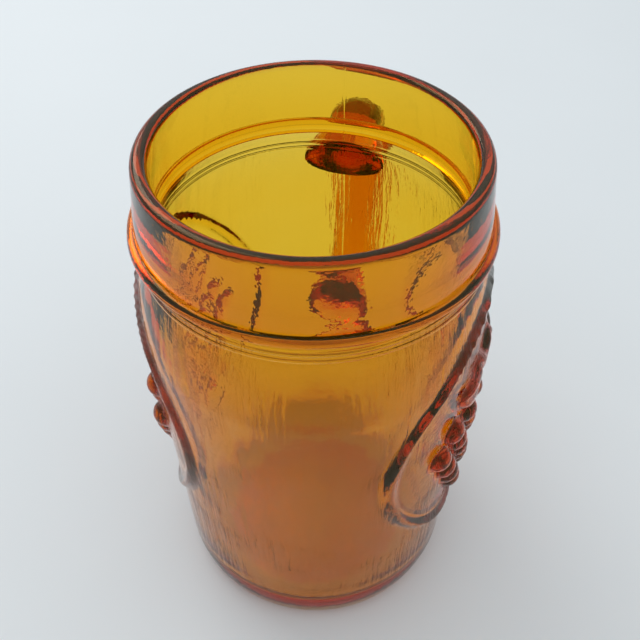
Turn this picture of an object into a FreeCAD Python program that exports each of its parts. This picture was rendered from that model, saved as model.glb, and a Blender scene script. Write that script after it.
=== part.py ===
"""Amber glass jar mug: a handled drinking jar with a bead round its collar and two oval medallions.

The frame has +Z up, with the origin on the jar's axis at the level of the surface it stands on.
The handle is on +Y and the two medallions face +X and -X. Sizes are in millimetres.
"""
import FreeCAD
import Part
import os
from FreeCAD import Placement, Rotation, Vector
import Sketcher

OUT = "parts"
MOUTH = "Sizes.collar_radius - Sizes.collar_wall"
HEEL_TOP = "Sizes.base_thickness + Sizes.floor_corner"
FLOOR_RADIUS = "Sizes.barrel_foot_radius - Sizes.barrel_wall - Sizes.floor_corner"
LIP_FOOT = "Sizes.overall_height - Sizes.lip_height"
HANDLE_TOP = "(Sizes.collar_foot - Sizes.handle_top)"
HANDLE_FOOT = f"({HANDLE_TOP} - Sizes.handle_foot)"
BEND_START = "(Sizes.handle_reach - Sizes.handle_bend)"
STRAP_START = f"({BEND_START} - Sizes.arm_length)"
ROOT_START = f"({STRAP_START} - Sizes.root_length)"
MEDALLION_CENTRE = "(Sizes.collar_foot - Sizes.medallion_centre)"
CLUSTER_TOP = f"({MEDALLION_CENTRE} + Sizes.cluster_top)"

# Driving dimensions: alias, value, what it measures
SIZES = [
    ("overall_height", 140.0, "from the table to the top of the lip"),
    ("collar_radius", 40.0, "outside of the plain collar"),
    ("collar_wall", 3.8, "glass thickness of the collar"),
    ("lip_height", 4.0, "height of the rounded lip"),
    ("lip_round", 1.6, "rounding of both edges of the lip"),
    ("collar_foot", 119.0, "height at which the collar meets the shoulder"),
    ("bead_centre", 1.4, "middle of the bead above the collar's foot"),
    ("bead_height", 7.4, "height of the bead where it meets the collar"),
    ("bead_reach", 3.2, "how far the bead stands out of the collar"),
    ("shoulder_foot", 94.0, "height at which the shoulder meets the barrel"),
    ("barrel_radius", 43.6, "outside of the barrel at the shoulder"),
    ("barrel_foot_radius", 40.1, "outside of the barrel at the heel"),
    ("barrel_wall", 4.2, "glass thickness of the barrel and shoulder"),
    ("base_thickness", 6.5, "floor of the jar above the table"),
    ("floor_corner", 5.5, "rounding between the floor and the wall inside"),
    ("foot_radius", 37.2, "outer edge of the ring that the jar stands on"),
    ("push_up_radius", 27.0, "inner edge of the ring that the jar stands on"),
    ("push_up_height", 2.2, "rise of the underside at its middle"),
    ("handle_width", 16.0, "handle section across the fingers"),
    ("handle_depth", 10.5, "handle section through the fingers"),
    ("handle_reach", 73.0, "jar axis to the middle of the grip"),
    ("handle_top", 8.5, "middle of the upper arm below the collar's foot"),
    ("handle_foot", 59.0, "middle of the lower arm below the middle of the upper one"),
    ("arm_length", 6.4, "straight run between each flare and its bend"),
    ("handle_bend", 15.0, "bend radius of the handle's middle line"),
    ("root_length", 13.5, "length of the flare at each end of the handle, with what lies in the wall"),
    ("root_width", 23.0, "width of the flare at its wide end"),
    ("upper_root_depth", 12.0, "height of the upper flare at its wide end"),
    ("lower_root_depth", 20.0, "height of the lower flare at its wide end"),
    ("medallion_centre", 52.5, "middle of the medallions below the collar's foot"),
    ("medallion_half_width", 33.5, "middle of the oval frame, sideways"),
    ("medallion_half_height", 41.0, "middle of the oval frame, upwards"),
    ("frame_width", 3.2, "width of the oval frame"),
    ("frame_rise", 1.3, "how far the oval frame stands out of the wall"),
    ("grape_radius", 4.0, "one grape of the cluster"),
    ("grape_sink", 0.8, "how far a grape's middle lies under the wall"),
    ("grape_gap", 0.5, "space between neighbouring grapes"),
    ("cluster_top", 4.5, "top row of grapes above the middle of the medallion"),
    ("leaf_length", 19.0, "length of one lobe of a vine leaf"),
    ("leaf_width", 10.5, "width of one lobe of a vine leaf"),
    ("leaf_rise", 2.2, "how far the leaves stand out of the wall"),
    ("leaf_clearance", 1.0, "space between the leaves and the top row of grapes"),
]
# Grapes in each row of the cluster, from the top
GRAPE_ROWS = (5, 6, 5, 4, 3)
# Tilt of each lobe of the vine leaf from straight up, in degrees
LEAF_LOBES = (-68.0, -34.0, 0.0, 34.0, 68.0)

doc = FreeCAD.newDocument("jar_mug")
pieces = []


def make_sheet():
    """The spreadsheet of driving dimensions."""
    sheet = doc.addObject("Spreadsheet::Sheet", "Sizes")
    for row, (alias, value, meaning) in enumerate(SIZES, start=1):
        sheet.set(f"A{row}", alias)
        sheet.set(f"B{row}", str(value))
        sheet.set(f"C{row}", meaning)
        sheet.setAlias(f"B{row}", alias)
    doc.recompute()
    return sheet


sheet = make_sheet()


def value(expression):
    """What an expression on the sheet is worth now, as a plain number."""
    found = sheet.evalExpression(expression)
    return float(getattr(found, "Value", found))


def origin_plane(body, role):
    """A body's own XY, XZ or YZ plane."""
    return next(o for o in body.Origin.OriginFeatures if o.Role == role)


def add_outline(sketch, corners, closed=True):
    """Lines and arcs through corners (across, up, radius, side), each tied to the sheet.

    A radius bends the edge that leaves the corner: side 1 bows it to the left of the way it runs,
    and side -1 to the right.
    """
    points = [Vector(value(c[0]), value(c[1]), 0) for c in corners]
    count = len(corners) if closed else len(corners) - 1
    edges = []
    for i in range(count):
        start, end = points[i], points[(i + 1) % len(points)]
        if len(corners[i]) == 2:
            edges.append(sketch.addGeometry(Part.LineSegment(start, end)))
            continue
        radius, side = value(corners[i][2]), corners[i][3]
        chord = end - start
        left = Vector(-chord.y, chord.x, 0).normalize()
        rise = radius - max(radius ** 2 - (chord.Length / 2) ** 2, 0.0) ** 0.5
        middle = (start + end) * 0.5 + left * (rise * side)
        edges.append(sketch.addGeometry(Part.Arc(start, middle, end)))
    # An arc always runs anticlockwise, so one that was drawn clockwise starts at its end
    starts = [2 if len(corners[i]) == 4 and corners[i][3] > 0 else 1 for i in range(count)]
    for i in range(count if closed else count - 1):
        following = (i + 1) % count
        meeting = (edges[i], 3 - starts[i], edges[following], starts[following])
        sketch.addConstraint(Sketcher.Constraint("Coincident", *meeting))
    for i in range(len(points)):
        edge, end = (edges[i], starts[i]) if i < count else (edges[-1], 3 - starts[-1])
        for kind, expression in (("DistanceX", corners[i][0]), ("DistanceY", corners[i][1])):
            place = sketch.addConstraint(Sketcher.Constraint(kind, -1, 1, edge, end, value(expression)))
            sketch.setExpression(f"Constraints[{place}]", expression)
        if i < count and len(corners[i]) == 4:
            place = sketch.addConstraint(Sketcher.Constraint("Radius", edge, value(corners[i][2])))
            sketch.setExpression(f"Constraints[{place}]", corners[i][2])


def turned(label, corners):
    """A body turned about the jar's axis from an outline of (radius, height) corners."""
    body = doc.addObject("PartDesign::Body", label)
    sketch = body.newObject("Sketcher::SketchObject", f"{label}_outline")
    sketch.AttachmentSupport = [(origin_plane(body, "XZ_Plane"), "")]
    sketch.MapMode = "FlatFace"
    add_outline(sketch, corners)
    spin = body.newObject("PartDesign::Revolution", f"{label}_turn")
    spin.Profile = sketch
    spin.ReferenceAxis = (sketch, ["V_Axis"])
    spin.Angle = 360.0
    body.Tip = spin
    doc.recompute()
    return body


def keep(label, feature):
    """Names a finished sub-part."""
    feature.Label = label
    pieces.append(feature)
    return feature


def bind(feature, **expressions):
    """Ties a feature's properties to the sheet."""
    for name, expression in expressions.items():
        feature.setExpression(name.replace("__", "."), expression)
    return feature


def boolean(kind, label, base, tool):
    """base cut by tool, or what base and tool share."""
    feature = doc.addObject(f"Part::{kind}", label)
    feature.Base, feature.Tool = base, tool
    return feature


def fuse(label, features):
    """Several features joined into one, or left side by side where they don't meet."""
    feature = doc.addObject("Part::MultiFuse", label)
    feature.Shapes = features
    return feature


def tangent_radius(across, along):
    """Radius of the arc that leaves an upright line and moves that far across, either way, in that height."""
    return f"(({across})^2 + ({along})^2) / (2 * abs({across}))"


def shoulder_arc(outside, inside):
    """Radius of a shoulder line that leaves the barrel upright and reaches the collar."""
    return tangent_radius(f"({outside}) - ({inside})", "Sizes.collar_foot - Sizes.shoulder_foot")


def jar_form(label, rise):
    """The jar's outside from the heel to the top, filled to its axis and grown by rise."""
    barrel, collar = f"Sizes.barrel_radius + {rise}", f"Sizes.collar_radius + {rise}"
    return turned(label, [
        ("0", HEEL_TOP),
        (f"Sizes.barrel_foot_radius + {rise}", HEEL_TOP),
        (barrel, "Sizes.shoulder_foot", shoulder_arc(barrel, collar), -1),
        (collar, "Sizes.collar_foot"),
        (collar, "Sizes.overall_height"),
        ("0", "Sizes.overall_height"),
    ])


def make_collar(form):
    """The lip, the plain collar and the bead round its foot."""
    keep("lip_ring", turned("lip_form", [
        (MOUTH, LIP_FOOT),
        ("Sizes.collar_radius", LIP_FOOT),
        ("Sizes.collar_radius", "Sizes.overall_height - Sizes.lip_round", "Sizes.lip_round", -1),
        ("Sizes.collar_radius - Sizes.lip_round", "Sizes.overall_height"),
        (f"{MOUTH} + Sizes.lip_round", "Sizes.overall_height", "Sizes.lip_round", -1),
        (MOUTH, "Sizes.overall_height - Sizes.lip_round"),
    ]))
    keep("neck_collar", turned("collar_form", [
        (MOUTH, "Sizes.collar_foot"),
        ("Sizes.collar_radius", "Sizes.collar_foot"),
        ("Sizes.collar_radius", LIP_FOOT),
        (MOUTH, LIP_FOOT),
    ]))

    half = "Sizes.bead_height / 2"
    bead_foot = f"Sizes.collar_foot + Sizes.bead_centre - {half}"
    bow = f"(({half})^2 + Sizes.bead_reach^2) / (2 * Sizes.bead_reach)"
    bead = turned("bead_form", [
        ("Sizes.collar_radius", bead_foot, bow, -1),
        ("Sizes.collar_radius", f"{bead_foot} + Sizes.bead_height"),
    ])
    keep("collar_bead", boolean("Cut", "bead_cut", bead, form))


def make_wall():
    """The shoulder, the tapered barrel wall, the heel and the floor."""
    inside = "Sizes.barrel_radius - Sizes.barrel_wall"
    outside_arc = shoulder_arc("Sizes.barrel_radius", "Sizes.collar_radius")
    keep("shoulder_ring", turned("shoulder_form", [
        ("Sizes.barrel_radius", "Sizes.shoulder_foot", outside_arc, -1),
        ("Sizes.collar_radius", "Sizes.collar_foot"),
        (MOUTH, "Sizes.collar_foot", shoulder_arc(inside, MOUTH), 1),
        (inside, "Sizes.shoulder_foot"),
    ]))
    keep("barrel_wall", turned("barrel_form", [
        ("Sizes.barrel_foot_radius", HEEL_TOP),
        ("Sizes.barrel_radius", "Sizes.shoulder_foot"),
        (inside, "Sizes.shoulder_foot"),
        ("Sizes.barrel_foot_radius - Sizes.barrel_wall", HEEL_TOP),
    ]))
    heel_arc = tangent_radius("Sizes.barrel_foot_radius - Sizes.foot_radius", HEEL_TOP)
    keep("heel_ring", turned("heel_form", [
        ("Sizes.push_up_radius", "0"),
        ("Sizes.foot_radius", "0", heel_arc, -1),
        ("Sizes.barrel_foot_radius", HEEL_TOP),
        ("Sizes.barrel_foot_radius - Sizes.barrel_wall", HEEL_TOP, "Sizes.floor_corner", 1),
        (FLOOR_RADIUS, "Sizes.base_thickness"),
        ("Sizes.push_up_radius", "Sizes.base_thickness"),
    ]))
    dome = tangent_radius("Sizes.push_up_height", "Sizes.push_up_radius")
    keep("base_plate", turned("base_form", [
        ("0", "Sizes.push_up_height", dome, 1),
        ("Sizes.push_up_radius", "0"),
        ("Sizes.push_up_radius", "Sizes.base_thickness"),
        ("0", "Sizes.base_thickness"),
    ]))


def oval(label, half_width, half_height, turn):
    """An ellipse edge with its longer axis along local X."""
    edge = doc.addObject("Part::Ellipse", label)
    bind(edge, MajorRadius=half_width, MinorRadius=half_height)
    edge.Placement = Placement(Vector(), turn)
    return edge


def make_handle(form):
    """A bent strap of oval section on the back, with a flare at each end that meets the wall."""
    # Local X of each section lies across the handle, and its plane faces out of the wall
    facing = Rotation(Vector(1, 0, 0), 90)
    path = doc.addObject("Sketcher::SketchObject", "handle_path")
    path.Placement = Placement(Vector(), Rotation(Vector(0, 1, 0), Vector(0, 0, 1), Vector(1, 0, 0), "ZXY"))
    bend = "Sizes.handle_bend"
    add_outline(path, [
        (STRAP_START, HANDLE_TOP),
        (BEND_START, HANDLE_TOP, bend, 1),
        ("Sizes.handle_reach", f"{HANDLE_TOP} - {bend}"),
        ("Sizes.handle_reach", f"{HANDLE_FOOT} + {bend}", bend, 1),
        (BEND_START, HANDLE_FOOT),
        (STRAP_START, HANDLE_FOOT),
    ], closed=False)
    section = oval("handle_section", "Sizes.handle_width / 2", "Sizes.handle_depth / 2", facing)
    bind(section, Placement__Base__y=STRAP_START, Placement__Base__z=HANDLE_TOP)
    doc.recompute()
    strap = doc.addObject("Part::Sweep", "handle_strap")
    strap.Sections = [section]
    strap.Spine = (path, [f"Edge{i}" for i in range(1, len(path.Shape.Edges) + 1)])
    strap.Solid = True
    keep("handle_loop", strap)
    for name, height in (("upper", HANDLE_TOP), ("lower", HANDLE_FOOT)):
        wide = oval(f"{name}_root_foot", "Sizes.root_width / 2", f"Sizes.{name}_root_depth / 2", facing)
        bind(wide, Placement__Base__y=ROOT_START, Placement__Base__z=height)
        slim = oval(f"{name}_root_end", "Sizes.handle_width / 2", "Sizes.handle_depth / 2", facing)
        bind(slim, Placement__Base__y=STRAP_START, Placement__Base__z=height)
        flare = doc.addObject("Part::Loft", f"{name}_root_flare")
        flare.Sections = [wide, slim]
        flare.Solid = True
        # The wide end runs on to the jar's axis, so that it meets the wall wherever the flare starts
        stub = prism(f"{name}_root_stub", wide, Vector(0, -1, 0), ROOT_START)
        root = fuse(f"{name}_root_form", [flare, stub])
        keep(f"handle_{name}_root", boolean("Cut", f"{name}_root_cut", root, form))


def prism(label, outline, way, reach):
    """An outline pushed out straight, that way and that far."""
    solid = doc.addObject("Part::Extrusion", label)
    solid.Base = outline
    solid.Dir = way
    solid.DirMode = "Custom"
    solid.Solid = True
    bind(solid, LengthFwd=reach)
    return solid


def mirrored(label, source):
    """The same sub-part on the other side of the jar."""
    copy = doc.addObject("Part::Mirroring", f"{label}_mirror")
    copy.Source = source
    copy.Normal = Vector(1, 0, 0)
    return keep(label, copy)


def make_frames(form):
    """The oval frame of each medallion, raised on the wall."""
    # Local X of the ellipse, its longer axis, stands upright and its plane faces along +X
    upright = Rotation(Vector(0, 1, 0), -90)
    prisms = []
    for name, sign in (("outer", "+"), ("inner", "-")):
        half = f"{sign} Sizes.frame_width / 2"
        long_half = f"Sizes.medallion_half_height {half}"
        edge = oval(f"frame_{name}", long_half, f"Sizes.medallion_half_width {half}", upright)
        bind(edge, Placement__Base__z=MEDALLION_CENTRE)
        prisms.append(prism(f"frame_{name}_prism", edge, Vector(1, 0, 0), "2 * Sizes.barrel_radius"))
    band = boolean("Cut", "frame_band", *prisms)
    skin = boolean("Cut", "frame_skin", jar_form("frame_form", "Sizes.frame_rise"), form)
    frame = keep("medallion_frame_right", boolean("Common", "frame_right", band, skin))
    mirrored("medallion_frame_left", frame)


def wall_radius(height):
    """Outside radius of the barrel at a height."""
    share = f"(({height}) - ({HEEL_TOP})) / (Sizes.shoulder_foot - ({HEEL_TOP}))"
    return f"Sizes.barrel_foot_radius + (Sizes.barrel_radius - Sizes.barrel_foot_radius) * {share}"


def make_grapes(form):
    """A cluster of grapes on each medallion, in rows that shorten downwards."""
    pitch = "(2 * Sizes.grape_radius + Sizes.grape_gap)"
    row_drop = 3 ** 0.5 / 2
    domes = []
    for row, count in enumerate(GRAPE_ROWS):
        height = f"{CLUSTER_TOP} - {row * row_drop} * {pitch}"
        reach = f"({wall_radius(height)} - Sizes.grape_sink)"
        for i in range(count):
            turn = f"({i - (count - 1) / 2} * {pitch} / {reach}) * 1rad"
            grape = doc.addObject("Part::Sphere", f"grape_{row}_{i}")
            bind(
                grape,
                Radius="Sizes.grape_radius",
                Placement__Base__x=f"{reach} * cos({turn})",
                Placement__Base__y=f"{reach} * sin({turn})",
                Placement__Base__z=height,
            )
            domes.append(grape)
    cluster = boolean("Cut", "cluster_right", fuse("cluster_spheres", domes), form)
    mirrored("grape_cluster_left", keep("grape_cluster_right", cluster))


def make_leaves(form):
    """A vine leaf of pointed lobes above each cluster, raised on the wall."""
    # A lobe is what two discs of this radius share, so that it ends in a point
    disc = "((Sizes.leaf_length / 2)^2 + (Sizes.leaf_width / 2)^2) / Sizes.leaf_width"
    stalk = f"{CLUSTER_TOP} + Sizes.grape_radius + Sizes.leaf_clearance"
    lobes = []
    for i, tilt in enumerate(LEAF_LOBES):
        discs = []
        for side in (1, -1):
            rod = doc.addObject("Part::Cylinder", f"lobe_{i}_disc_{'a' if side > 0 else 'b'}")
            rod.Placement = Placement(Vector(), Rotation(Vector(0, 1, 0), 90))
            offset = f"({side}) * ({disc} - Sizes.leaf_width / 2)"
            along = "Sizes.leaf_length / 2"
            bind(
                rod,
                Radius=disc,
                Height="2 * Sizes.barrel_radius",
                Placement__Base__y=f"{along} * sin({tilt}) + {offset} * cos({tilt})",
                Placement__Base__z=f"{stalk} + {along} * cos({tilt}) - {offset} * sin({tilt})",
            )
            discs.append(rod)
        lobes.append(boolean("Common", f"lobe_{i}", *discs))
    skin = boolean("Cut", "leaf_skin", jar_form("leaf_form", "Sizes.leaf_rise"), form)
    leaf = boolean("Common", "leaf_right", fuse("leaf_lobes", lobes), skin)
    mirrored("vine_leaf_left", keep("vine_leaf_right", leaf))


def write_pieces():
    """Checks every object, then writes one file for each sub-part."""
    doc.recompute()
    faults = [o.Name for o in doc.Objects if {"Invalid", "Error"} & set(o.State)]
    if faults:
        raise RuntimeError(f"these objects failed: {faults}")
    for piece in pieces:
        if piece.Shape.isNull() or not piece.Shape.isValid() or not piece.Shape.Solids:
            raise RuntimeError(f"{piece.Label} has no valid solid")
    os.makedirs(OUT, exist_ok=True)
    for piece in pieces:
        piece.Shape.exportStep(os.path.join(OUT, f"{piece.Label}.step"))
        print(piece.Label, len(piece.Shape.Solids), "solids", round(piece.Shape.Volume, 1), "mm3")


outside = jar_form("jar_form", "0")
make_collar(outside)
make_wall()
make_handle(outside)
make_frames(outside)
make_grapes(outside)
make_leaves(outside)
write_pieces()
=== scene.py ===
"""Amber glass jar mug: one casting of tinted glass with collar, bead, relief and handle, on a pale table."""

import bpy
import numpy as np
from mathutils import Matrix, Vector


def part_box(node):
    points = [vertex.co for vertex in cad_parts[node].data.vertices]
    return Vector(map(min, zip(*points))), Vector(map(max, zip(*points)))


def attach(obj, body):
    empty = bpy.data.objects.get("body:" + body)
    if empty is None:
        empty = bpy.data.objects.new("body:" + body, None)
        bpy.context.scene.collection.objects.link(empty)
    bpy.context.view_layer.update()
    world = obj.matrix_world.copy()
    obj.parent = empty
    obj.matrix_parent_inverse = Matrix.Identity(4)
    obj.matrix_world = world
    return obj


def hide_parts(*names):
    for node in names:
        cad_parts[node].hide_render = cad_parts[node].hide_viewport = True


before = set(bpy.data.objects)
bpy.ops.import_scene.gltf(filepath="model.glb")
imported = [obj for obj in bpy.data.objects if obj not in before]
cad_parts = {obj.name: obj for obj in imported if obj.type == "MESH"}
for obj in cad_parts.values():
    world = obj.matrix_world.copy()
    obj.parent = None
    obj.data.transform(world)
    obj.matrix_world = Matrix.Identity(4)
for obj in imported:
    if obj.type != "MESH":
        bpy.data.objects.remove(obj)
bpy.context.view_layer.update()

bl_info = {
    "name": "Amber jar mug",
    "version": (1, 0, 0),
    "blender": (4, 5, 0),
    "location": "View3D > Sidebar > Jar Mug",
    "description": "Builds an amber glass jar mug with a handle and grape medallions",
    "category": "Add Mesh",
}

MM = 0.001
TINY = 1e-9
# The glass features of the solid model that the one casting stands for
GLASS_NODES = sorted(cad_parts)


def node_top(node):
    """Height of a node's highest point."""
    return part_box(node)[1][2]


def node_foot(node):
    """Height of a node's lowest point."""
    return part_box(node)[0][2]


def node_radius(node):
    """How far a turned node reaches from the jar's axis."""
    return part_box(node)[1][0]


HANDLE_LOW, HANDLE_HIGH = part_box("handle_loop")
HANDLE_DEPTH = 10.5 * MM
BEAD_REACH = node_radius("collar_bead") - node_radius("neck_collar")

# Rows of points on each part of the section, and columns round the jar and round the handle
ROWS = {
    "dome": 9, "ring": 4, "heel": 14, "barrel": 106, "shoulder": 18, "bead": 19, "collar": 12, "lip": 7,
    "inner_collar": 8, "inner_shoulder": 10, "inner_barrel": 16, "corner": 10, "floor": 5,
}
JAR_COLUMNS = 384
HANDLE_COLUMNS = 44
HANDLE_STEP = 1.1 * MM
# A straight part of the section starts this far past the curve before it, so that no two rows coincide
PAST_DOME, PAST_BEAD, PAST_LIP, PAST_CORNER = 0.5 * MM, 0.1 * MM, 1.0 * MM, 1.5 * MM
# Below 1, the bead's half-round is fuller than a cosine
BEAD_FULLNESS = 0.7

# Grapes in each row of a cluster, from the top, and how far each lobe of the leaf leans, in degrees
GRAPE_ROWS = (5, 6, 5, 4, 3)
LEAF_LOBES = (-68.0, -34.0, 0.0, 34.0, 68.0)
LEAF_GAP = 1.0 * MM
LEAF_EDGE = 2.4 * MM
VEIN_WIDTH = 0.7 * MM
VEIN_DEPTH = 0.45
# The relief is kept to the two sides of the jar, where the cosine of the angle from X is above this
RELIEF_FACING = 0.3

# The grain: its waves round the jar, and the heights over which they bend and drift
GRAIN_SEED = 7
GRAIN_WAVES = (17, 29, 41, 53, 67, 83, 101)
GRAIN_SWAY = 1.5
GRAIN_BEND = 22 * MM
GRAIN_DRIFT = 60 * MM
GRAIN_FADE = 4 * MM
GRAIN_ABOVE_HANDLE = 6 * MM
GRAIN_IN_OVAL = 0.15
# Behind the handle the grain starts at 1.5 times this distance from the middle and is full at 2.5 times
STRIP_UNIT = 7 * MM
STRIP_START = 1.5

# How deep the handle's ends sit in the wall, as shares of it, and the share of a flare before it narrows
UPPER_SUNK, LOWER_SUNK = 0.2, 0.3
ROOT_SUNK = 0.3
# Edges sharper than this stay crisp, except on the relief, which starts this far beside the roots
CRISP_ANGLE = np.radians(45)
RELIEF_MARGIN = 2 * MM

# The finish of the glass: heights of its bumps in metres, and squared distances where a line fades
STREAK_HEIGHT, RIPPLE_HEIGHT, PEEL_HEIGHT = 0.0004, 0.0002, 0.00003
SEAM_HEIGHT, RING_HEIGHT = 0.0001, 0.00025
STREAK_SQUASH = (1.0, 1.0, 0.07)
# The streaks fade in over this height above the heel, and out between these depths below the collar
STREAK_RISE = 5 * MM
STREAK_DROPS = (6 * MM, 3 * MM)
PATCH_EDGES = (0.4, 0.62)
SEAM_EDGES = (0.03e-6, 0.16e-6)
SEAM_START = 10 * MM
RING_EDGES = (0.02e-6, 0.25e-6)
RING_DROPS = (2.6 * MM, 4.1 * MM)
BUMP_STRENGTH = 0.6
POLISH, DULLING = 0.012, 0.05
GLASS_IOR = 1.5
# Reflections take on the glass's colour, which keeps the pale room from veiling the front wall
SHEEN_TINT = (1.0, 0.72, 0.30, 1.0)

# The stage: light levels, where 1 is white, and the heights of a direction between which they change
HORIZON_LIGHT, OVERHEAD_GAIN, SEEN_LIGHT = 0.12, 0.79, 0.85
OVERHEAD_EDGES = (0.1, 0.6)
SEEN_EDGES = (0.15, 0.4)
TABLE_HALF = 1.5
TABLE_MOTTLE = 0.96
TABLE_ROUGHNESS = 0.9
TABLE_THROUGH_GLASS = 0.22
LAMP_SIZE, LAMP_ENERGY = 0.5, 1.6
LAMP_PLACE = (-0.45, 0.35, 0.65)
LAMP_AIM = (0, 0, 0.05)
LIGHT_BOUNCES = 40
# The photograph's camera, in metres, with its lens in millimetres
SENSOR_WIDTH, FOCAL_LENGTH = 36.0, 47.8125
CAMERA_PLACE = (0.034377, -0.155062, 0.243039)
CAMERA_RIGHT = (0.978499, 0.206249, -0.001343)
CAMERA_UP = (-0.143777, 0.686754, 0.712529)

# Sockets of a colour Mix node, which share their names with those of its other data types
MIX_FACTOR, MIX_FIRST, MIX_SECOND, MIX_RESULT = 0, 6, 7, 2


def length(name, description, default):
    """A length property in metres."""
    return bpy.props.FloatProperty(
        name=name, description=description, default=default,
        min=0.0, subtype="DISTANCE", unit="LENGTH", precision=5,
    )


def colour(name, description, default):
    """A colour property without alpha."""
    return bpy.props.FloatVectorProperty(
        name=name, description=description, default=default, size=3, min=0.0, max=1.0, subtype="COLOR",
    )


class MugSizes(bpy.types.PropertyGroup):
    """Sizes of the glass."""

    height: length("Height", "Table to the top of the lip", node_top("lip_ring"))
    collar_radius: length("Collar radius", "Outside of the collar", node_radius("neck_collar"))
    collar_wall: length("Collar wall", "Glass thickness of the collar", 3.8 * MM)
    collar_foot: length("Collar foot", "Where the collar meets the shoulder", node_foot("neck_collar"))
    lip_round: length("Lip rounding", "Rounding of the lip's edges", 1.6 * MM)
    collar_flare: length("Collar flare", "How far the collar spreads down to the bead", 1.5 * MM)
    bead_crest: length("Bead crest", "Height of the bead's crest", 121.0 * MM)
    bead_half: length("Bead half height", "Crest of the bead to each of its edges", 1.9 * MM)
    bead_reach: length("Bead reach", "How far the bead stands out", BEAD_REACH)
    shoulder_foot: length("Shoulder foot", "Where the shoulder meets the barrel", node_foot("shoulder_ring"))
    barrel_radius: length("Barrel radius", "Outside of the barrel at the shoulder", 43.6 * MM)
    barrel_foot_radius: length("Heel radius", "Outside of the barrel at the heel", node_radius("heel_ring"))
    barrel_wall: length("Barrel wall", "Glass thickness of the barrel", 4.2 * MM)
    heel_top: length("Heel height", "Where the barrel meets the heel", node_top("heel_ring"))
    foot_radius: length("Foot radius", "Outer edge of the standing ring", 37.2 * MM)
    push_up_radius: length("Dome radius", "Inner edge of the standing ring", node_radius("base_plate"))
    push_up_height: length("Dome height", "Rise of the underside at its middle", 2.2 * MM)
    base_thickness: length("Floor height", "Inner floor above the table", node_top("base_plate"))
    medallion_centre: length("Medallion height", "Middle of the oval frames", 66.5 * MM)
    medallion_half_width: length("Medallion half width", "Oval frame, sideways", 33.5 * MM)
    medallion_half_height: length("Medallion half height", "Oval frame, upwards", 41.0 * MM)
    frame_width: length("Frame width", "Width of the oval frame", 4.2 * MM)
    frame_rise: length("Frame rise", "How far the frame stands out", 1.3 * MM)
    grape_radius: length("Grape radius", "One grape of the cluster", 4.0 * MM)
    grape_sink: length("Grape sink", "How far a grape's middle lies under the wall", 0.8 * MM)
    grape_gap: length("Grape gap", "Space between neighbouring grapes", 0.5 * MM)
    cluster_top: length("Cluster top", "Height of the top row of grapes", 71.0 * MM)
    leaf_length: length("Lobe length", "One lobe of the vine leaf", 19.0 * MM)
    leaf_width: length("Lobe width", "One lobe of the vine leaf", 10.5 * MM)
    leaf_rise: length("Leaf rise", "How far the leaf stands out", 2.2 * MM)
    handle_width: length("Handle width", "Handle section across the fingers", 16.0 * MM)
    handle_depth: length("Handle depth", "Handle section through the fingers", HANDLE_DEPTH)
    handle_reach: length("Handle reach", "Axis to the middle of the grip", HANDLE_HIGH[1] - HANDLE_DEPTH / 2)
    handle_top: length("Handle top", "Height of the upper arm", HANDLE_HIGH[2] - HANDLE_DEPTH / 2)
    handle_foot: length("Handle foot", "Height of the lower arm", HANDLE_LOW[2] + HANDLE_DEPTH / 2)
    handle_bend: length("Handle bend", "Bend radius of the handle", 15.0 * MM)
    root_length: length("Root length", "Length of the flare at each end of the handle", 13.5 * MM)
    root_width: length("Root width", "Width of the flares at their wide end", 23.0 * MM)
    upper_root_depth: length("Upper root", "Height of the upper flare at its wide end", 12.0 * MM)
    lower_root_depth: length("Lower root", "Height of the lower flare at its wide end", 20.0 * MM)
    grain_depth: length("Grain depth", "Depth of the wood-like grain in the wall", 0.16 * MM)


class MugLook(bpy.types.PropertyGroup):
    """Colours of the glass and of the stage."""

    amber: colour("Amber", "What the glass lets through", (0.970, 0.830, 0.0))
    depth: bpy.props.FloatProperty(
        name="Colour depth", description="Absorption per metre of glass", default=760.0, min=0.0,
    )
    table: colour("Table", "The pale table under the mug", (0.80, 0.835, 0.85))
    sky: colour("Sky", "The soft light all round", (0.93, 0.97, 1.0))


def arc(centre, radius, start, end, count):
    """Points on a circle: centre plus radius times (cos, sin) of evenly spaced angles in degrees."""
    angle = np.radians(np.linspace(start, end, count))
    return np.stack([centre[0] + radius * np.cos(angle), centre[1] + radius * np.sin(angle)], axis=1)


def between(start, end, count):
    """Evenly spaced points on a straight line, without its last one."""
    return np.linspace(start, end, count, endpoint=False)


def tangent_curve(foot, head, count):
    """The arc that leaves foot upright and ends at head: its radius is (across² + along²) / (2 across)."""
    across, along = foot[0] - head[0], head[1] - foot[1]
    radius = (across ** 2 + along ** 2) / (2 * across)
    rise = np.linspace(0, along, count, endpoint=False)
    return np.stack([foot[0] - radius + np.sqrt(radius ** 2 - rise ** 2), foot[1] + rise], axis=1)


def shoulder_radius(s, height):
    """Outside radius from the shoulder up: tangent_curve's arc as far as the collar, then the collar."""
    across, along = s.barrel_radius - s.collar_radius, s.collar_foot - s.shoulder_foot
    radius = (across ** 2 + along ** 2) / (2 * across)
    rise = np.minimum(height - s.shoulder_foot, along)
    return s.barrel_radius - radius + np.sqrt(radius ** 2 - rise ** 2)


def bead_curve(s, flared):
    """The bead, at angles a: its height is crest + half height * sin(a), and its swell a power of cos(a).

    Above its crest it swells from the flared collar, and below it tucks in to the shoulder.
    """
    sweep = np.radians(np.linspace(-90, 90, ROWS["bead"]))
    base = np.where(sweep > 0, flared, flared + s.collar_flare * np.sin(sweep))
    swell = (s.bead_reach - s.collar_flare) * np.cos(sweep) ** BEAD_FULLNESS
    return np.stack([base + swell, s.bead_crest + s.bead_half * np.sin(sweep)], axis=1)


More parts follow.
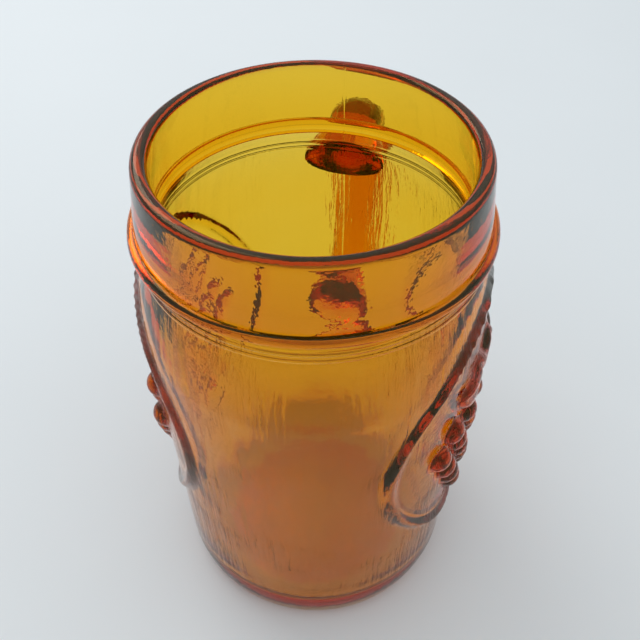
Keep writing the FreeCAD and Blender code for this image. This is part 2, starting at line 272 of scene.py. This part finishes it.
def casting_outline(s):
    """The jar's section as (radius, height) rows, from the middle of the underside to that of the floor.

    Returns the rows and a weight that is 1 on the outside wall, where the relief and the grain are.
    """
    mouth = s.collar_radius - s.collar_wall
    inside = s.barrel_radius - s.barrel_wall
    foot_inside = s.barrel_foot_radius - s.barrel_wall
    corner = s.heel_top - s.base_thickness
    lip_centre = s.height - s.lip_round
    bead_foot, bead_head = s.bead_crest - s.bead_half, s.bead_crest + s.bead_half
    # The collar spreads as a cone down to the bead, half as far inside as outside
    flared = s.collar_radius + s.collar_flare
    spread = mouth + s.collar_flare / 2
    shoulder_height = np.linspace(s.shoulder_foot, bead_foot, ROWS["shoulder"], endpoint=False)
    shoulder = np.stack([shoulder_radius(s, shoulder_height), shoulder_height], axis=1)
    fade = np.linspace(0, 1, ROWS["dome"])
    dome = np.stack([s.push_up_radius * fade, s.push_up_height * (1 - fade ** 2)], axis=1)[1:]
    heel = tangent_curve((s.barrel_foot_radius, 0.0), (s.foot_radius, s.heel_top), ROWS["heel"])[::-1]
    heel[:, 1] = s.heel_top - heel[:, 1]
    inner_foot, inner_head = (inside, s.shoulder_foot), (spread, s.collar_foot)
    floor_edge = foot_inside - corner
    rows = [
        (dome, 0),
        (between((s.push_up_radius + PAST_DOME, 0.0), (s.foot_radius, 0.0), ROWS["ring"]), 0),
        (np.array([[s.foot_radius, 0.0]]), 0),
        (heel[:-1], 0),
        (between((s.barrel_foot_radius, s.heel_top), (s.barrel_radius, s.shoulder_foot), ROWS["barrel"]), 1),
        (shoulder, 1),
        (bead_curve(s, flared), 0),
        (between((flared, bead_head + PAST_BEAD), (s.collar_radius, lip_centre), ROWS["collar"]), 0),
        (arc((s.collar_radius - s.lip_round, lip_centre), s.lip_round, 0, 90, ROWS["lip"]), 0),
        (arc((mouth + s.lip_round, lip_centre), s.lip_round, 90, 180, ROWS["lip"]), 0),
        (between((mouth, lip_centre - PAST_LIP), inner_head, ROWS["inner_collar"]), 0),
        (tangent_curve(inner_foot, inner_head, ROWS["inner_shoulder"])[::-1], 0),
        (between(inner_foot, (foot_inside, s.heel_top), ROWS["inner_barrel"])[1:], 0),
        (arc((floor_edge, s.heel_top), corner, 0, -90, ROWS["corner"]), 0),
        (between((floor_edge - PAST_CORNER, s.base_thickness), (0.0, s.base_thickness), ROWS["floor"]), 0),
    ]
    outline = np.concatenate([part for part, _ in rows])
    weight = np.concatenate([np.full(len(part), float(mark)) for part, mark in rows])
    return outline, weight


def frame_ridge(s, across, height):
    """Rise of the oval frame, and e, which is 1 on the frame's middle line and less inside it.

    The rise is a squared cosine of the distance from that line, which is taken as (e - 1) / |grad e|.
    """
    u = across / s.medallion_half_width
    v = (height - s.medallion_centre) / s.medallion_half_height
    e = np.sqrt(u ** 2 + v ** 2) + TINY
    slope = np.sqrt((u / s.medallion_half_width) ** 2 + (v / s.medallion_half_height) ** 2) / e + TINY
    share = np.clip(np.abs(e - 1) / slope / (s.frame_width / 2), 0, 1)
    return s.frame_rise * np.cos(share * np.pi / 2) ** 2, e


def grape_relief(s, along, height):
    """Rise of the grapes: the highest of the spheres sunk in the wall, sqrt(radius² - distance²) - sink."""
    pitch = 2 * s.grape_radius + s.grape_gap
    rise = np.zeros_like(height)
    for row, count in enumerate(GRAPE_ROWS):
        middle = s.cluster_top - row * np.sqrt(3) / 2 * pitch
        for i in range(count):
            away = (along - (i - (count - 1) / 2) * pitch) ** 2 + (height - middle) ** 2
            dome = np.sqrt(np.maximum(s.grape_radius ** 2 - away, 0)) - s.grape_sink
            rise = np.maximum(rise, dome)
    return rise


def leaf_relief(s, across, height):
    """Rise of the leaf: each lobe is what two discs share, rounded at its edge, creased along its vein."""
    disc = ((s.leaf_length / 2) ** 2 + (s.leaf_width / 2) ** 2) / s.leaf_width
    stalk = s.cluster_top + s.grape_radius + LEAF_GAP
    rise = np.zeros_like(height)
    for tilt in np.radians(LEAF_LOBES):
        up = across * np.sin(tilt) + (height - stalk) * np.cos(tilt)
        side = across * np.cos(tilt) - (height - stalk) * np.sin(tilt)
        far = np.sqrt((np.abs(side) + disc - s.leaf_width / 2) ** 2 + (up - s.leaf_length / 2) ** 2)
        share = np.clip((disc - far) / LEAF_EDGE, 0, 1)
        vein = VEIN_DEPTH * np.exp(-(side / VEIN_WIDTH) ** 2) * share
        rise = np.maximum(rise, s.leaf_rise * (np.sin(share * np.pi / 2) - vein))
    return rise


def wood_grain(theta, height):
    """Streaks that run up the wall, 0 to 1: waves round the jar whose phase drifts slowly with height."""
    rng = np.random.default_rng(GRAIN_SEED)
    waves = np.zeros_like(height)
    for turns in GRAIN_WAVES:
        phase, drift, bend, start = rng.uniform(0, 2 * np.pi, 4)
        sway = (GRAIN_SWAY + bend) * np.sin(height / GRAIN_BEND + start) + drift * height / GRAIN_DRIFT
        waves += np.sin(turns * theta + phase + sway) / np.sqrt(turns)
    low, high = waves.min(), waves.max()
    return (waves - low) / (high - low)


def grid_faces(rows, columns):
    """Quads of a grid that closes round its columns."""
    row, column = np.meshgrid(np.arange(rows - 1), np.arange(columns), indexing="ij")
    following = (column + 1) % columns
    low, high = row * columns, (row + 1) * columns
    return np.stack([low + column, low + following, high + following, high + column], axis=-1).reshape(-1, 4)


def fans(rows, columns):
    """Triangles that close a grid's first and last row onto two pole points, which follow its own points."""
    column = np.arange(columns)
    following = (column + 1) % columns
    last = (rows - 1) * columns
    bottom, top = rows * columns, rows * columns + 1
    low = np.stack([np.full(columns, bottom), following, column], axis=1)
    high = np.stack([np.full(columns, top), last + column, last + following], axis=1)
    return np.concatenate([low, high])


def mesh_from(name, points, quads, caps):
    """A smooth mesh from points, quads and triangles."""
    mesh = bpy.data.meshes.new(name)
    mesh.from_pydata(points.tolist(), [], quads.tolist() + caps.tolist())
    mesh.validate()
    mesh.update()
    piece = bpy.data.objects.new(name, mesh)
    bpy.context.scene.collection.objects.link(piece)
    mesh.shade_smooth()
    return piece


def jar_piece(s):
    """The jar as its section turned about Z, with relief and grain added to the outside wall's radius."""
    outline, weight = casting_outline(s)
    theta = np.linspace(0, 2 * np.pi, JAR_COLUMNS, endpoint=False)[None, :]
    radius, height = (outline[:, i:i + 1] + 0 * theta for i in (0, 1))
    theta = theta + 0 * radius
    mark = weight[:, None] + 0 * theta
    # The relief faces +X and -X, so it is laid out by the distance sideways from that axis
    aside = np.arctan2(np.sin(theta), np.abs(np.cos(theta)))
    across = radius * np.sin(theta)
    ridge, oval = frame_ridge(s, across, height)
    motif = np.maximum(grape_relief(s, radius * aside, height), leaf_relief(s, across, height))
    facing = np.abs(np.cos(theta)) > RELIEF_FACING
    above_heel = np.clip((height - s.heel_top) / GRAIN_FADE, 0, 1)
    below_collar = np.clip((s.handle_top + GRAIN_ABOVE_HANDLE - height) / GRAIN_FADE, 0, 1)
    ends = above_heel * below_collar
    # The grain fades inside the ovals and in the strip of wall behind the handle
    off_strip = np.clip(np.abs(radius * np.cos(theta)) / STRIP_UNIT - STRIP_START, 0, 1)
    strip = np.where(np.sin(theta) > 0, off_strip, 1.0)
    grain = wood_grain(theta, height) * np.where(oval < 1, GRAIN_IN_OVAL, 1.0) * strip
    radius = radius + mark * facing * np.maximum(ridge, motif) - mark * ends * s.grain_depth * grain
    points = np.stack([radius * np.cos(theta), radius * np.sin(theta), height], axis=-1).reshape(-1, 3)
    poles = np.array([[0, 0, s.push_up_height], [0, 0, s.base_thickness]])
    rows = len(outline)
    quads, caps = grid_faces(rows, JAR_COLUMNS), fans(rows, JAR_COLUMNS)
    return mesh_from("amber_jar_mug", np.concatenate([points, poles]), quads, caps)


def handle_path(s):
    """The handle's middle line as (out, up) points, and the way that it runs at each of them.

    It runs out along the upper arm, round two bends and back to the wall along the lower arm.
    """
    start = s.collar_radius - UPPER_SUNK * s.collar_wall
    end = s.barrel_foot_radius - LOWER_SUNK * s.barrel_wall
    bend, reach = s.handle_bend, s.handle_reach
    arm = int((reach - bend - start) / HANDLE_STEP)
    quarter = int(bend * np.pi / 2 / HANDLE_STEP)
    grip = int((s.handle_top - s.handle_foot - 2 * bend) / HANDLE_STEP)
    points = np.concatenate([
        between((start, s.handle_top), (reach - bend, s.handle_top), arm),
        arc((reach - bend, s.handle_top - bend), bend, 90, 0, quarter)[:-1],
        between((reach, s.handle_top - bend), (reach, s.handle_foot + bend), grip),
        arc((reach - bend, s.handle_foot + bend), bend, 0, -90, quarter)[:-1],
        np.linspace((reach - bend, s.handle_foot), (end, s.handle_foot), arm),
    ])
    along = np.gradient(points, axis=0)
    return points, along / np.linalg.norm(along, axis=1, keepdims=True)


def handle_piece(s):
    """An oval carried along the handle's middle line, widening as a square law to the wall at each end."""
    path, along = handle_path(s)
    run = np.concatenate([[0], np.cumsum(np.linalg.norm(np.diff(path, axis=0), axis=1))])
    sunk = ROOT_SUNK * s.root_length
    upper = np.clip(1 - (run - sunk) / (s.root_length - sunk), 0, 1)[:, None] ** 2
    lower = np.clip(1 - (run[-1] - run - sunk) / (s.root_length - sunk), 0, 1)[:, None] ** 2
    half_width = s.handle_width / 2 + (s.root_width - s.handle_width) / 2 * (upper + lower)
    half_depth = s.handle_depth / 2 + (
        (s.upper_root_depth - s.handle_depth) * upper + (s.lower_root_depth - s.handle_depth) * lower
    ) / 2
    angle = np.linspace(0, 2 * np.pi, HANDLE_COLUMNS, endpoint=False)[None, :]
    sideways, outwards = half_width * np.cos(angle), half_depth * np.sin(angle)
    points = np.stack([
        sideways,
        path[:, :1] - along[:, 1:] * outwards,
        path[:, 1:] + along[:, :1] * outwards,
    ], axis=-1).reshape(-1, 3)
    ends = np.stack([np.zeros(2), path[[0, -1], 0], path[[0, -1], 1]], axis=1)
    rows = len(path)
    quads, caps = grid_faces(rows, HANDLE_COLUMNS), fans(rows, HANDLE_COLUMNS)
    return mesh_from("handle_strap", np.concatenate([points, ends]), quads, caps)


def vertex_places(mesh):
    """A mesh's points as rows of (x, y, z)."""
    places = np.empty(len(mesh.vertices) * 3)
    mesh.vertices.foreach_get("co", places)
    return places.reshape(-1, 3)


def outward(piece):
    """Turns a closed mesh's faces so that they point outwards: its signed volume is then positive."""
    mesh = piece.data
    mesh.calc_loop_triangles()
    corners = np.empty(len(mesh.loop_triangles) * 3, dtype=np.int32)
    mesh.loop_triangles.foreach_get("vertices", corners)
    a, b, c = vertex_places(mesh)[corners].reshape(-1, 3, 3).transpose(1, 0, 2)
    if np.einsum("ij,ij->i", a, np.cross(b, c)).sum() < 0:
        mesh.flip_normals()


def soften_relief(mesh, s):
    """Takes the sharp edges off the barrel's relief, beside the strip of wall with the handle's roots."""
    ends = np.empty(len(mesh.edges) * 2, dtype=np.int32)
    mesh.edges.foreach_get("vertices", ends)
    middle = vertex_places(mesh)[ends].reshape(-1, 2, 3).mean(axis=1)
    sharp = np.empty(len(mesh.edges), dtype=bool)
    mesh.edges.foreach_get("use_edge_sharp", sharp)
    beside = np.abs(middle[:, 0]) > s.root_width / 2 + RELIEF_MARGIN
    on_barrel = (middle[:, 2] > s.heel_top) & (middle[:, 2] < s.shoulder_foot)
    mesh.edges.foreach_set("use_edge_sharp", sharp & ~(beside & on_barrel))


class Value:
    """A shader socket that adds Math nodes when it is used in sums."""

    def __init__(self, nodes, socket):
        self.nodes, self.socket = nodes, socket

    def math(self, operation, *inputs):
        """A Math node on values and numbers."""
        return self.nodes.add("ShaderNodeMath", {"operation": operation}, dict(enumerate(inputs)))

    def __add__(self, other):
        return self.math("ADD", self, other)

    def __sub__(self, other):
        return self.math("SUBTRACT", self, other)

    def __rsub__(self, other):
        return self.math("SUBTRACT", other, self)

    def __mul__(self, other):
        return self.math("MULTIPLY", self, other)

    __radd__, __rmul__ = __add__, __mul__

    def largest(self, other):
        """The larger of two values."""
        return self.math("MAXIMUM", self, other)

    def smooth(self, low, high):
        """0 below low and 1 above high, with a soft step between them."""
        sockets = {"Value": self, "From Min": low, "From Max": high}
        return self.nodes.add("ShaderNodeMapRange", {"interpolation_type": "SMOOTHSTEP"}, sockets)


class Nodes:
    """The node tree of a material or a world."""

    def __init__(self, owner):
        owner.use_nodes = True
        self.tree = owner.node_tree
        self.tree.nodes.clear()

    def add(self, kind, settings=None, sockets=None, output=0):
        """A node of any kind: its settings first, then the values or links of its sockets."""
        node = self.tree.nodes.new(kind)
        for name, setting in (settings or {}).items():
            setattr(node, name, setting)
        for name, given in (sockets or {}).items():
            if isinstance(given, Value):
                self.tree.links.new(given.socket, node.inputs[name])
            else:
                node.inputs[name].default_value = given
        return Value(self, node.outputs[output]) if len(node.outputs) else node

    def noise(self, place, scale, detail):
        """Soft noise from 0 to 1 that turns over about scale times to the metre."""
        return self.add("ShaderNodeTexNoise", {}, {"Vector": place, "Scale": scale, "Detail": detail})

    def part(self, place, axis):
        """One coordinate of a place or a direction."""
        return self.add("ShaderNodeSeparateXYZ", {}, {"Vector": place}, output=axis)

    def ray(self, kind):
        """1 for light rays of one kind, and 0 for the others."""
        return self.add("ShaderNodeLightPath", output=kind)


def amber_glass(look, s):
    """Clear glass, tinted through its depth, with the mould's fine grain and a little waviness on it."""
    material = bpy.data.materials.new("amber_glass")
    nodes = Nodes(material)
    place = nodes.add("ShaderNodeTexCoord", output="Object")
    aside, back, high = (nodes.part(place, axis) for axis in "XYZ")
    above_heel = high.smooth(s.heel_top, s.heel_top + STREAK_RISE)
    below_collar = 1 - high.smooth(*(s.collar_foot - drop for drop in STREAK_DROPS))
    on_wall = above_heel * below_collar
    streaked = nodes.add("ShaderNodeMapping", {}, {"Vector": place, "Scale": STREAK_SQUASH})
    streaks = nodes.noise(streaked, scale=900.0, detail=3.0)
    patches = nodes.noise(place, scale=45.0, detail=1.0).smooth(*PATCH_EDGES)
    peel = nodes.noise(place, scale=800.0, detail=1.0)
    ripple = nodes.noise(place, scale=60.0, detail=2.0)
    # The mould's joint runs up the middle of the back, and two fine rings lie under the bead
    seam = (1 - (aside * aside).smooth(*SEAM_EDGES)) * back.smooth(0.0, SEAM_START)
    relief = streaks * patches * on_wall * STREAK_HEIGHT + ripple * RIPPLE_HEIGHT
    relief = relief + peel * PEEL_HEIGHT + seam * SEAM_HEIGHT
    for drop in RING_DROPS:
        away = high - (s.collar_foot - drop)
        relief = relief + (1 - (away * away).smooth(*RING_EDGES)) * RING_HEIGHT
    bump = nodes.add("ShaderNodeBump", {}, {"Strength": BUMP_STRENGTH, "Distance": 1.0, "Height": relief})
    rough = POLISH + DULLING * ripple * on_wall
    glass = nodes.add("ShaderNodeBsdfPrincipled", {}, {
        "Base Color": (1.0, 1.0, 1.0, 1.0),
        "Transmission Weight": 1.0,
        "IOR": GLASS_IOR,
        "Roughness": rough,
        "Normal": bump,
        "Specular Tint": SHEEN_TINT,
    })
    tint = nodes.add("ShaderNodeVolumeAbsorption", {}, {"Color": (*look.amber, 1.0), "Density": look.depth})
    nodes.add("ShaderNodeOutputMaterial", {}, {"Surface": glass, "Volume": tint})
    return material


def table_top(look):
    """A pale matt table with a faint mottle."""
    material = bpy.data.materials.new("pale_table")
    nodes = Nodes(material)
    place = nodes.add("ShaderNodeTexCoord", output="Object")
    shade = nodes.add("ShaderNodeMix", {"data_type": "RGBA"}, {
        MIX_FACTOR: nodes.noise(place, scale=9.0, detail=3.0),
        MIX_FIRST: (*look.table, 1.0),
        MIX_SECOND: (*(TABLE_MOTTLE * np.array(look.table)), 1.0),
    }, output=MIX_RESULT)
    matt = nodes.add("ShaderNodeBsdfPrincipled", {}, {"Base Color": shade, "Roughness": TABLE_ROUGHNESS})
    # Through the glass the table also shows its own colour, so that the jar's floor isn't lost in shadow
    glow = nodes.add("ShaderNodeEmission", {}, {"Color": shade, "Strength": 1.0})
    share = nodes.ray("Is Transmission Ray") * TABLE_THROUGH_GLASS
    mixed = nodes.add("ShaderNodeMixShader", {}, {0: share, 1: matt, 2: glow})
    nodes.add("ShaderNodeOutputMaterial", {}, {"Surface": mixed})
    return material


def soft_room(look):
    """A room that is bright overhead and dim round the horizon."""
    world = bpy.data.worlds.new("soft_room")
    nodes = Nodes(world)
    up = nodes.part(nodes.add("ShaderNodeTexCoord", output="Generated"), "Z")
    level = HORIZON_LIGHT + OVERHEAD_GAIN * up.smooth(*OVERHEAD_EDGES)
    # Seen straight on, mirrored in the glass or through it, the horizon is as pale as the table
    straight, mirrored = nodes.ray("Is Camera Ray"), nodes.ray("Is Glossy Ray")
    seen = straight.largest(mirrored.largest(nodes.ray("Is Transmission Ray")))
    level = level + seen * (1 - up.smooth(*SEEN_EDGES)) * (SEEN_LIGHT - level)
    glow = nodes.add("ShaderNodeBackground", {}, {"Color": (*look.sky, 1.0), "Strength": level})
    nodes.add("ShaderNodeOutputWorld", {}, {"Surface": glow})
    return world


def window_lamp():
    """A soft lamp from the left and behind."""
    lamp = bpy.data.objects.new("window", bpy.data.lights.new("window", "AREA"))
    lamp.data.size = LAMP_SIZE
    lamp.data.energy = LAMP_ENERGY
    lamp.location = LAMP_PLACE
    lamp.rotation_euler = (Vector(LAMP_AIM) - lamp.location).to_track_quat("-Z", "Y").to_euler()
    return lamp


def photo_camera():
    """The camera at the photograph's place: its columns are right, up and, as their cross product, back."""
    lens = bpy.data.cameras.new("photo_view")
    lens.sensor_width, lens.lens = SENSOR_WIDTH, FOCAL_LENGTH
    camera = bpy.data.objects.new("photo_view", lens)
    right, upwards = Vector(CAMERA_RIGHT), Vector(CAMERA_UP)
    turn = Matrix((right, upwards, right.cross(upwards))).transposed().to_4x4()
    camera.matrix_world = Matrix.Translation(CAMERA_PLACE) @ turn
    return camera


class MUG_OT_glass(bpy.types.Operator):
    """Casts the jar and its handle as one piece of amber glass"""

    bl_idname = "mug.glass"
    bl_label = "Amber Glass"

    def execute(self, context):
        s, look = context.scene.mug_sizes, context.scene.mug_look
        jar, strap = jar_piece(s), handle_piece(s)
        outward(jar)
        outward(strap)
        join = jar.modifiers.new("handle", "BOOLEAN")
        join.operation = "UNION"
        join.solver = "EXACT"
        join.object = strap
        joined = bpy.data.meshes.new_from_object(jar.evaluated_get(context.evaluated_depsgraph_get()))
        jar.modifiers.clear()
        jar.data = joined
        joined.name = "amber_jar_mug"
        joined.shade_smooth()
        joined.set_sharp_from_angle(angle=CRISP_ANGLE)
        soften_relief(joined, s)
        bpy.data.objects.remove(strap)
        joined.materials.clear()
        joined.materials.append(amber_glass(look, s))
        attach(jar, "root")
        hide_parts(*GLASS_NODES)
        return {"FINISHED"}


class MUG_OT_stage(bpy.types.Operator):
    """Sets the pale table, the soft light and the camera"""

    bl_idname = "mug.stage"
    bl_label = "Stage"

    def execute(self, context):
        look, scene = context.scene.mug_look, context.scene
        corner = np.array([[-1, -1, 0], [1, -1, 0], [1, 1, 0], [-1, 1, 0]]) * TABLE_HALF
        table = mesh_from("table", corner, np.array([[0, 1, 2, 3]]), np.empty((0, 3), int))
        table.data.materials.append(table_top(look))
        scene.world = soft_room(look)
        scene.collection.objects.link(window_lamp())
        camera = photo_camera()
        scene.collection.objects.link(camera)
        scene.camera = camera
        # Light goes round inside thick glass many times before it leaves
        scene.cycles.max_bounces = LIGHT_BOUNCES
        scene.cycles.transmission_bounces = LIGHT_BOUNCES
        scene.view_settings.view_transform = "Standard"
        return {"FINISHED"}


class MUG_PT_panel(bpy.types.Panel):
    """Lists the steps and the values that they use"""

    bl_idname = "MUG_PT_panel"
    bl_label = "Jar Mug"
    bl_space_type = "VIEW_3D"
    bl_region_type = "UI"
    bl_category = "Jar Mug"

    def draw(self, context):
        for step in (MUG_OT_glass, MUG_OT_stage):
            self.layout.operator(step.bl_idname)
        for group in (context.scene.mug_sizes, context.scene.mug_look):
            box = self.layout.box()
            for name in group.__annotations__:
                box.prop(group, name)


CLASSES = (MugSizes, MugLook, MUG_OT_glass, MUG_OT_stage, MUG_PT_panel)


def register():
    for cls in CLASSES:
        bpy.utils.register_class(cls)
    bpy.types.Scene.mug_sizes = bpy.props.PointerProperty(type=MugSizes)
    bpy.types.Scene.mug_look = bpy.props.PointerProperty(type=MugLook)


def unregister():
    del bpy.types.Scene.mug_look
    del bpy.types.Scene.mug_sizes
    for cls in reversed(CLASSES):
        bpy.utils.unregister_class(cls)


def main():
    register()
    bpy.ops.mug.glass()
    bpy.ops.mug.stage()


if __name__ == "__main__":
    main()
